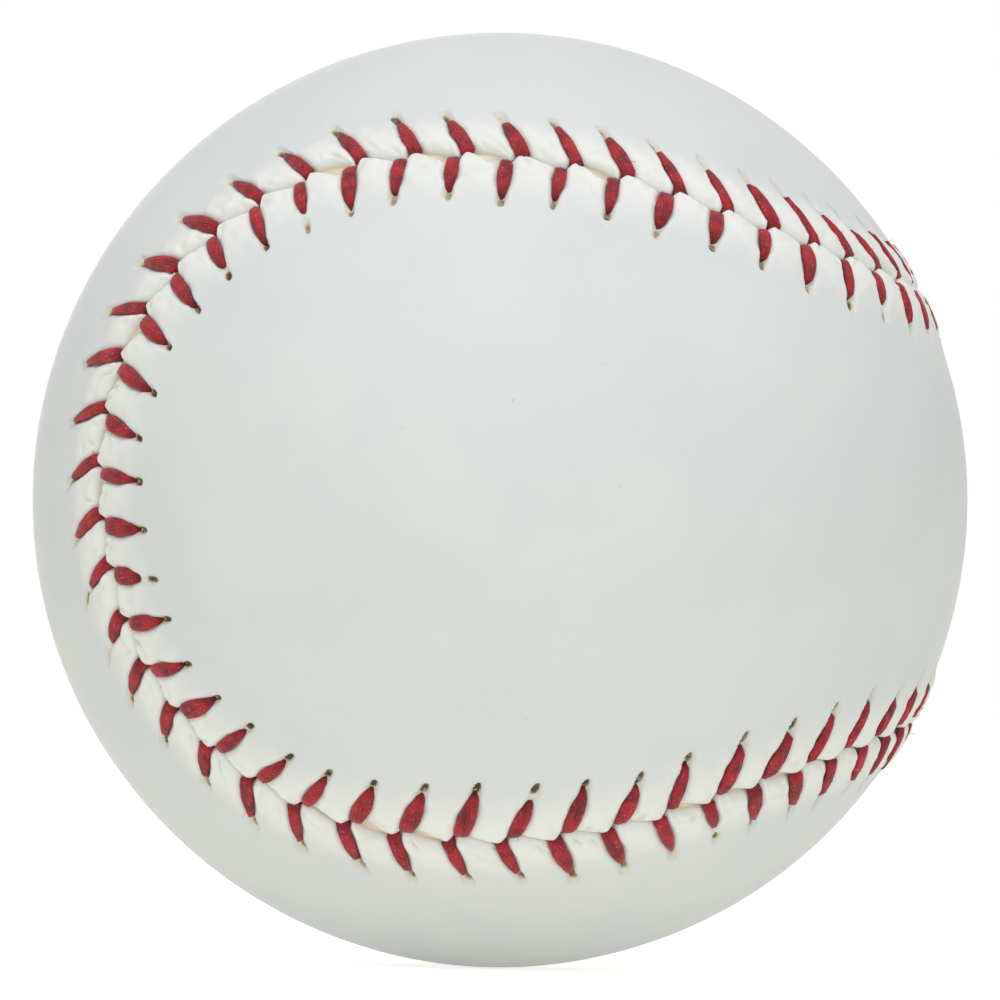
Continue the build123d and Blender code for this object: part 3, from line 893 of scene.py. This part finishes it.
def strand_tubes(tree, given, strands, angle):
    """Each strand moved off the run by its angle round it, and given its thickness."""
    tangent = add(tree, "GeometryNodeInputTangent").outputs[0]
    side = run_value(tree, "side", "FLOAT_VECTOR")
    up = vector(tree, "NORMALIZE", vector(tree, "CROSS_PRODUCT", side, tangent))
    flat = vector(tree, "CROSS_PRODUCT", tangent, up)
    aside = worked(tree, "MULTIPLY", worked(tree, "COSINE", angle), run_value(tree, "wide"))
    above = worked(tree, "MULTIPLY", worked(tree, "SINE", angle), run_value(tree, "tall"))
    offset = vector(tree, "ADD", stretched(tree, flat, aside), stretched(tree, up, above))
    moved = add(tree, "GeometryNodeSetPosition", {"Geometry": strands, "Offset": offset}).outputs[0]
    thick = worked(tree, "MULTIPLY", run_value(tree, "thick"), given["Ply radius"])
    thick = worked(tree, "MULTIPLY", thick, random_value(tree, *SLUB_RANGE, given["Seed"]))
    ring = add(tree, "GeometryNodeCurvePrimitiveCircle", {"Resolution": STRAND_SIDES, "Radius": 1.0})
    tube = add(tree, "GeometryNodeCurveToMesh", {
        "Curve": moved, "Profile Curve": ring.outputs[0], "Scale": thick, "Fill Caps": True,
    }).outputs[0]
    return add(tree, "GeometryNodeSetShadeSmooth", {"Geometry": tube, "Shade Smooth": True}).outputs[0]


def loose_fibres(tree, given, tube):
    """Short bent fibres standing off the strands where they lie in the open."""
    bare = add(tree, "FunctionNodeCompare", {
        0: run_value(tree, "hollow"), 1: FUZZY_BELOW,
    }, data_type="FLOAT", operation="LESS_THAN").outputs[0]
    spots = add(tree, "GeometryNodeDistributePointsOnFaces", {
        "Mesh": tube, "Selection": bare, "Density": given["Fuzz"], "Seed": given["Seed"],
    }).outputs
    bend = add(tree, "GeometryNodeCurvePrimitiveBezierSegment", {"Resolution": FIBRE_STEPS, **FIBRE_BEND})
    stem = add(tree, "GeometryNodeCurvePrimitiveCircle", {
        "Resolution": FIBRE_SIDES, "Radius": FIBRE_THICKNESS,
    })
    fibre = add(tree, "GeometryNodeCurveToMesh", {
        "Curve": bend.outputs[0], "Profile Curve": stem.outputs[0], "Fill Caps": True,
    }).outputs[0]
    lean = add(tree, "FunctionNodeRandomValue", {
        0: [-most for most in FIBRE_LEAN], 1: FIBRE_LEAN, 8: given["Seed"],
    }, data_type="FLOAT_VECTOR").outputs[0]
    lean = add(tree, "FunctionNodeEulerToRotation", {"Euler": lean}).outputs[0]
    lean = add(tree, "FunctionNodeRotateRotation", {
        "Rotation": spots["Rotation"], "Rotate By": lean,
    }, rotation_space="LOCAL").outputs[0]
    size = random_value(tree, *FIBRE_RANGE, given["Seed"])
    return add(tree, "GeometryNodeInstanceOnPoints", {
        "Points": spots["Points"], "Instance": fibre, "Rotation": lean,
        "Scale": worked(tree, "MULTIPLY", size, given["Fuzz length"]),
    }).outputs[0]


# One corner of a thread's run: its place by the seam, the half sizes of its flattened bundle of strands, how
# thick those are, and how much painted shade it gets where it lies hidden in the leather or near its hole
BUNDLE = ("wide", "tall", "thick", "hollow")
Corner = namedtuple("Corner", ("at", "inset", "radius", *BUNDLE))
LEAF_PLACES = (0.03, 0.18, 0.36, 0.54, 0.72, 0.88, 1.0)
UNDER_RUN, OVER_GROOVE, ARCH = 0.27 * MM, 0.08 * MM, 0.10 * MM
LEAST_WIDE, LEAF_TALL = 0.08 * MM, 0.09 * MM
HOLE_SHADOW, HOLE_SHADOW_FALL = 0.35, 4
STEEP = 0.55
STRAND_STEP, FUZZ_DENSITY, FUZZ_LENGTH = 0.60 * MM, 6.0e4, 0.65 * MM


def stitch_corners(sizes, leather, number, after):
    """Up through a hole, over the leather, down into the seam, and under it towards the next hole."""
    sewing, side = leather.own, leather.side
    hole, apex = sewing.hole[number], sewing.apex[number]
    deep, end = sewing.inset[number], sewing.end[number]
    low = sizes.wound_radius + UNDER_RUN
    top = sizes.ball_radius - sizes.groove + sizes.ply_radius + OVER_GROOVE
    yield Corner(
        hole, side * (deep + 0.16 * MM), low,
        wide=0.25 * MM, tall=0.05 * MM, thick=0.8, hollow=1.0,
    )
    yield Corner(
        hole, side * (deep + 0.06 * MM), low + 0.40 * MM,
        wide=0.20 * MM, tall=0.08 * MM, thick=0.7, hollow=1.0,
    )
    for along in LEAF_PLACES:
        inset = deep + (end - deep) * along
        wide = max(sewing.leaf_half(along) * sewing.leaf[number] - sizes.ply_radius, LEAST_WIDE)
        yield Corner(
            hole + (apex - hole) * along, side * inset, top + leather.lift(inset) + ARCH * sin(pi * along),
            wide=wide, tall=LEAF_TALL, thick=1.0, hollow=HOLE_SHADOW * (1 - along) ** HOLE_SHADOW_FALL,
        )
    yield Corner(
        apex + 0.06 * MM, side * (end - 0.28 * MM), top - 0.12 * MM,
        wide=0.42 * MM, tall=LEAF_TALL, thick=0.9, hollow=0.6,
    )
    yield Corner(
        apex + 0.10 * MM, side * (end - 0.42 * MM), low + 0.35 * MM,
        wide=0.22 * MM, tall=LEAF_TALL, thick=0.8, hollow=1.0,
    )
    yield Corner(
        apex * 0.6 + after * 0.4, -side * deep * 0.45, low,
        wide=0.25 * MM, tall=0.04 * MM, thick=0.8, hollow=1.0,
    )


def thread_points(sizes, seam, first_side):
    """Corner points of one needle's thread, with its sideways direction and flattening at each."""
    leathers = {side: Leather(sizes, seam, side) for side in (1, -1)}
    corners = []
    for number in range(sizes.stitch_count):
        side = first_side if number % 2 == 0 else -first_side
        after = leathers[-side].own.hole[(number + 1) % sizes.stitch_count]
        after += seam.length if number + 1 == sizes.stitch_count else 0
        corners += stitch_corners(sizes, leathers[side], number, after)
    rows = np.array(corners[:-1])
    points = seam.place(rows[:, 0], rows[:, 1], rows[:, 2])
    heading = unit(np.gradient(points, axis=0))
    outward = unit(points)
    travel = seam.frame(rows[:, 0])[1]
    aside = np.cross(heading, outward)
    steep = np.abs(np.sum(heading * outward, axis=1)) > STEEP
    sideways = np.sign(np.sum(aside * travel, axis=1))[:, None] * aside
    sideways[steep] = travel[steep]
    return points, unit(sideways), rows[:, 3:]


def lacing(name, node, first_side, sizes, seam, tree, sockets, material):
    """One needle's thread, laid by the tree along its corner points."""
    points, sideways, shape = thread_points(sizes, seam, first_side)
    run = bpy.data.meshes.new(name + "_run")
    run.from_pydata(points, [(n, n + 1) for n in range(len(points) - 1)], [])
    for number, label in enumerate(BUNDLE):
        values = shape[:, number].astype(np.float32)
        run.attributes.new(label, "FLOAT", "POINT").data.foreach_set("value", values)
    side = run.attributes.new("side", "FLOAT_VECTOR", "POINT")
    side.data.foreach_set("vector", sideways.astype(np.float32).ravel())
    carrier = bpy.data.objects.new(name + "_run", run)
    bpy.context.scene.collection.objects.link(carrier)
    modifier = carrier.modifiers.new("lacing", "NODES")
    modifier.node_group = tree
    for label, value in (
        ("Plies", sizes.plies), ("Ply radius", sizes.ply_radius), ("Twist", sizes.twist),
        ("Step", STRAND_STEP), ("Finish", material), ("Fuzz", FUZZ_DENSITY),
        ("Fuzz length", FUZZ_LENGTH), ("Seed", sizes.seed),
    ):
        modifier[sockets[label]] = value
    settled = carrier.evaluated_get(bpy.context.evaluated_depsgraph_get())
    mesh = bpy.data.meshes.new_from_object(settled)
    mesh.name = name
    piece = bpy.data.objects.new(name, mesh)
    bpy.context.scene.collection.objects.link(piece)
    bpy.data.objects.remove(carrier)
    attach(piece, "root")
    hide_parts(node)


def dress(node, material, slot):
    """Give a hidden CAD piece its finish."""
    held = nodes[node]
    held.data.materials.clear()
    held.data.materials.append(material)


YARN_TURNS = ((0.3, 0.9, 0.2), (1.2, -0.4, 1.7), (-0.8, 2.1, 0.6))


def yarn_finish(name, light, dark, scale):
    """Wool wound every way over itself: bands of yarn whose direction changes from patch to patch, coloured
    lit on their tops and with painted shade in the hollows between them.
    """
    made, tree, place = finish_material(name)
    bands = []
    for turn in YARN_TURNS:
        turned = add(tree, "ShaderNodeMapping", {"Vector": place, "Rotation": turn}).outputs[0]
        bands.append(add(tree, "ShaderNodeTexWave", {
            "Vector": turned, "Scale": scale, "Distortion": 1.2, "Detail": 2, "Detail Scale": 3,
        }).outputs["Fac"])
    first_patch = ramp(tree, noise(tree, place, scale=110, detail=1), low=0.46, high=0.50)
    weave = mixed(tree, first_patch, bands[0], bands[1])
    second_patch = ramp(tree, noise(tree, place, scale=95, detail=1), low=0.52, high=0.56)
    weave = mixed(tree, second_patch, weave, bands[2])
    fuzz = worked(tree, "ADD", weave, noise(tree, place, scale=4000, detail=3))
    # Painted shade in the hollows between the bands, lit colour on their tops
    surface(tree, {
        "Base Color": mixed(tree, weave, rgba(dark), rgba(light)), "Roughness": 0.9, "Sheen Weight": 0.3,
        "Normal": bumped(tree, fuzz, strength=0.6, depth=0.4 * MM), "Specular IOR Level": 0.2,
    })
    return made


def rubber_finish(name, plain, bloom):
    """Moulded rubber: a matt bloom and fine pitting."""
    made, tree, place = finish_material(name)
    patches = ramp(tree, noise(tree, place, scale=160, detail=4), low=0.35, high=0.70)
    pits = noise(tree, place, scale=2600, detail=3)
    surface(tree, {
        "Base Color": mixed(tree, patches, rgba(plain), rgba(bloom)), "Roughness": 0.68,
        "Normal": bumped(tree, pits, strength=0.25, depth=0.1 * MM), "Specular IOR Level": 0.4,
    })
    return made


CORK_GRAINS = 520


def cork_finish(colours):
    """Pressed cork: granules of tan and brown with dark joints."""
    made, tree, place = finish_material("pressed_cork")
    cells = {"Vector": place, "Scale": CORK_GRAINS}
    grains = add(tree, "ShaderNodeTexVoronoi", cells).outputs["Color"]
    shade = add(tree, "ShaderNodeSeparateColor", {0: grains}).outputs[0]
    base = mixed(tree, shade, rgba(colours.cork_dark), rgba(colours.cork_light))
    joints = add(tree, "ShaderNodeTexVoronoi", cells, feature="DISTANCE_TO_EDGE").outputs[0]
    base = mixed(tree, ramp(tree, joints, low=0.0, high=0.10), rgba(colours.cork_joint), base)
    relief = bumped(tree, joints, strength=0.4, depth=0.3 * MM)
    surface(tree, {"Base Color": base, "Roughness": 0.85, "Normal": relief})
    return made


def cement_finish(colours):
    """Latex cement brushed over the yarn: milky, uneven, a little tacky."""
    made, tree, place = finish_material("latex_cement")
    streak = noise(tree, place, scale=240, detail=4, rough=0.6)
    milky = ramp(tree, streak, low=0.3, high=0.7)
    base = mixed(tree, milky, rgba(colours.cement_thin), rgba(colours.cement_thick))
    relief = bumped(tree, streak, strength=0.4, depth=0.3 * MM)
    surface(tree, {"Base Color": base, "Roughness": 0.38, "Normal": relief})
    return made


class BASEBALL_OT_cover(bpy.types.Operator):
    """Make the two leather panels of the cover"""

    bl_idname = "baseball.cover"
    bl_label = "Cover panels"

    def execute(self, context):
        sizes = context.scene.baseball_sizes
        seam = Seam(sizes)
        finish = leather_finish(context.scene.baseball_colours)
        cover_panel("leather_panel_a", "cover_panel_a", 1, sizes, seam, finish)
        cover_panel("leather_panel_b", "cover_panel_b", -1, sizes, seam, finish)
        return {"FINISHED"}


class BASEBALL_OT_lacing(bpy.types.Operator):
    """Lay the two red sewing threads along the seam"""

    bl_idname = "baseball.lacing"
    bl_label = "Red lacing"

    def execute(self, context):
        sizes = context.scene.baseball_sizes
        seam = Seam(sizes)
        finish = thread_finish(context.scene.baseball_colours)
        tree, sockets = lacing_tree()
        lacing("lacing_a", "thread_a", 1, sizes, seam, tree, sockets, finish)
        lacing("lacing_b", "thread_b", -1, sizes, seam, tree, sockets, finish)
        return {"FINISHED"}


class BASEBALL_OT_layers(bpy.types.Operator):
    """Finish the cork, rubber, yarn and cement under the cover"""

    bl_idname = "baseball.layers"
    bl_label = "Layers inside"

    def execute(self, context):
        colours = context.scene.baseball_colours
        grey = yarn_finish("grey_wool_yarn", colours.grey_wool, colours.grey_wool_shade, scale=260)
        white = yarn_finish("white_wool_yarn", colours.white_wool, colours.white_wool_shade, scale=300)
        fine = yarn_finish("fine_white_yarn", colours.fine_yarn, colours.fine_yarn_shade, scale=620)
        black = rubber_finish("black_rubber", colours.black_rubber, colours.black_bloom)
        red = rubber_finish("red_rubber", colours.red_rubber, colours.red_bloom)
        for node, finish, slot in (
            ("cork_core", cork_finish(colours), "cork"),
            ("inner_shell_left", black, "black_rubber"),
            ("inner_shell_right", black, "black_rubber"),
            ("shell_washer", red, "red_rubber"),
            ("pill_cover", red, "red_rubber"),
            ("first_winding", grey, "grey_wool"),
            ("second_winding", white, "white_wool"),
            ("third_winding", grey, "grey_wool"),
            ("finishing_winding", fine, "white_yarn"),
            ("adhesive_coat", cement_finish(colours), "cement"),
        ):
            dress(node, finish, slot)
        return {"FINISHED"}


WHITE = (1, 1, 1, 1)
FLOOR_TINT, ROOM_TINT = (1, 1, 0.88, 1), (1, 1, 0.86, 1)
FLOOR_SEEN, BACK_SHARE, RIGHT_SHARE = 0.60, 0.82, 0.94


def seen(tree):
    """One for what the camera sees, straight or in a mirror or glass, and nothing for plain light."""
    path = add(tree, "ShaderNodeLightPath").outputs
    either = worked(tree, "MAXIMUM", path["Is Camera Ray"], path["Is Glossy Ray"])
    return worked(tree, "MAXIMUM", either, path["Is Transmission Ray"])


def pale_floor(stage, ground):
    """A wide sheet of pale paper, which glows a little so that it looks white."""
    mesh = bpy.data.meshes.new("pale_floor")
    half = stage.floor_size / 2
    corners = [(x * half, y * half, ground) for x, y in ((-1, -1), (1, -1), (1, 1), (-1, 1))]
    mesh.from_pydata(corners, [], [(0, 1, 2, 3)])
    made, tree, place = finish_material("pale_floor")
    view = seen(tree)
    away = add(tree, "ShaderNodeVectorMath", {0: place}, operation="LENGTH").outputs["Value"]
    spread = ranged(tree, away, start=41 * MM, stop=60 * MM, at_start=0.34, at_stop=0.17)
    touch = ranged(tree, away, start=37 * MM, stop=40 * MM, at_start=0.75, at_stop=1.0)
    given = worked(tree, "MULTIPLY", spread, touch)
    level = ranged(tree, view, at_start=given, at_stop=FLOOR_SEEN)
    tint = mixed(tree, view, FLOOR_TINT, WHITE)
    matt = add(tree, "ShaderNodeBsdfDiffuse", {"Color": rgba(stage.floor_colour)}).outputs[0]
    glow = add(tree, "ShaderNodeEmission", {"Color": tint, "Strength": level}).outputs[0]
    both = add(tree, "ShaderNodeAddShader", {0: matt, 1: glow}).outputs[0]
    add(tree, "ShaderNodeOutputMaterial", {"Surface": both})
    mesh.materials.append(made)
    floor = bpy.data.objects.new("pale_floor", mesh)
    bpy.context.scene.collection.objects.link(floor)


def white_room(strength):
    """White to look at, and even light from all round that is a little less behind and at the right."""
    world = bpy.data.worlds.new("white_room")
    bpy.context.scene.world = world
    world.use_nodes = True
    tree = world.node_tree
    tree.nodes.clear()
    view = seen(tree)
    direction = add(tree, "ShaderNodeTexCoord").outputs["Generated"]
    way = add(tree, "ShaderNodeSeparateXYZ", {0: direction}).outputs
    behind = ranged(tree, way["Y"], start=-1.0)
    dimmed = ranged(tree, behind, at_start=strength, at_stop=strength * BACK_SHARE)
    shaded = ranged(tree, way["X"], at_start=1.0, at_stop=RIGHT_SHARE)
    level = ranged(tree, view, at_start=worked(tree, "MULTIPLY", dimmed, shaded), at_stop=1.0)
    tint = mixed(tree, view, mixed(tree, behind, WHITE, ROOM_TINT), WHITE)
    glow = add(tree, "ShaderNodeBackground", {"Color": tint, "Strength": level}).outputs[0]
    add(tree, "ShaderNodeOutputWorld", {"Surface": glow})


def softbox(name, place, size, watts, tint):
    """A round area light that faces the ball."""
    light = bpy.data.lights.new(name, "AREA")
    light.shape, light.size, light.energy = "DISK", size, watts
    light.color = tint
    made = bpy.data.objects.new(name, light)
    made.location = place
    made.rotation_euler = (-Vector(place)).to_track_quat("-Z", "Y").to_euler()
    made.visible_camera = False
    bpy.context.scene.collection.objects.link(made)


SENSOR_WIDTH = 36.0
NEAREST, FARTHEST = 0.05, 20.0


def front_camera(scene, stage):
    """A long lens that frames the ball as the photograph does."""
    turn = Vector(stage.view_turn)
    turned = Matrix.Rotation(turn.length, 4, turn.normalized())
    back_off = Matrix.Translation((0, -stage.view_distance, 0))
    camera = bpy.data.objects.new("front_camera", bpy.data.cameras.new("front_camera"))
    camera.matrix_world = turned @ back_off @ Matrix.Rotation(pi / 2, 4, "X")
    limb = asin(scene.baseball_sizes.ball_radius / stage.view_distance)
    camera.data.sensor_width = SENSOR_WIDTH
    camera.data.lens = stage.ball_share / 2 / tan(limb) * camera.data.sensor_width
    camera.data.clip_start, camera.data.clip_end = NEAREST, FARTHEST
    scene.collection.objects.link(camera)
    scene.camera = camera


class BASEBALL_OT_stage(bpy.types.Operator):
    """Set the floor, the light and the camera"""

    bl_idname = "baseball.stage"
    bl_label = "Pale studio"

    def execute(self, context):
        scene, stage = context.scene, context.scene.baseball_stage
        scene.view_settings.view_transform = "Standard"
        pale_floor(stage, cad_box[0].z)
        white_room(stage.ambient)
        for name, place, size, watts in (
            ("overhead_softbox", (-0.05, -0.35, 1.0), 1.2, stage.softbox_power),
            ("front_fill", (0.0, -1.6, 0.12), 0.9, stage.fill_power),
            ("back_fill", (0.0, 1.6, 0.12), 0.6, stage.back_power),
        ):
            softbox(name, place, size, watts, stage.light_tint)
        front_camera(scene, stage)
        return {"FINISHED"}


STEPS = (BASEBALL_OT_cover, BASEBALL_OT_lacing, BASEBALL_OT_layers, BASEBALL_OT_stage)


class BASEBALL_PT_panel(bpy.types.Panel):
    """Sizes, colours and steps of the baseball"""

    bl_idname = "BASEBALL_PT_panel"
    bl_label = "Baseball"
    bl_space_type = "VIEW_3D"
    bl_region_type = "UI"
    bl_category = "Baseball"

    def draw(self, context):
        scene = context.scene
        for group in (scene.baseball_sizes, scene.baseball_colours, scene.baseball_stage):
            box = self.layout.box()
            for name in group.__annotations__:
                box.prop(group, name)
        for step in STEPS:
            self.layout.operator(step.bl_idname)


CLASSES = (BaseballSizes, BaseballColours, BaseballStage, *STEPS, BASEBALL_PT_panel)


def register():
    for held in CLASSES:
        bpy.utils.register_class(held)
    bpy.types.Scene.baseball_sizes = bpy.props.PointerProperty(type=BaseballSizes)
    bpy.types.Scene.baseball_colours = bpy.props.PointerProperty(type=BaseballColours)
    bpy.types.Scene.baseball_stage = bpy.props.PointerProperty(type=BaseballStage)


def unregister():
    for held in ("baseball_sizes", "baseball_colours", "baseball_stage"):
        delattr(bpy.types.Scene, held)
    for held in reversed(CLASSES):
        bpy.utils.unregister_class(held)


def main():
    register()
    bpy.ops.baseball.cover()
    bpy.ops.baseball.lacing()
    bpy.ops.baseball.layers()
    bpy.ops.baseball.stage()
    bpy.context.view_layer.update()


if __name__ == "__main__":
    main()
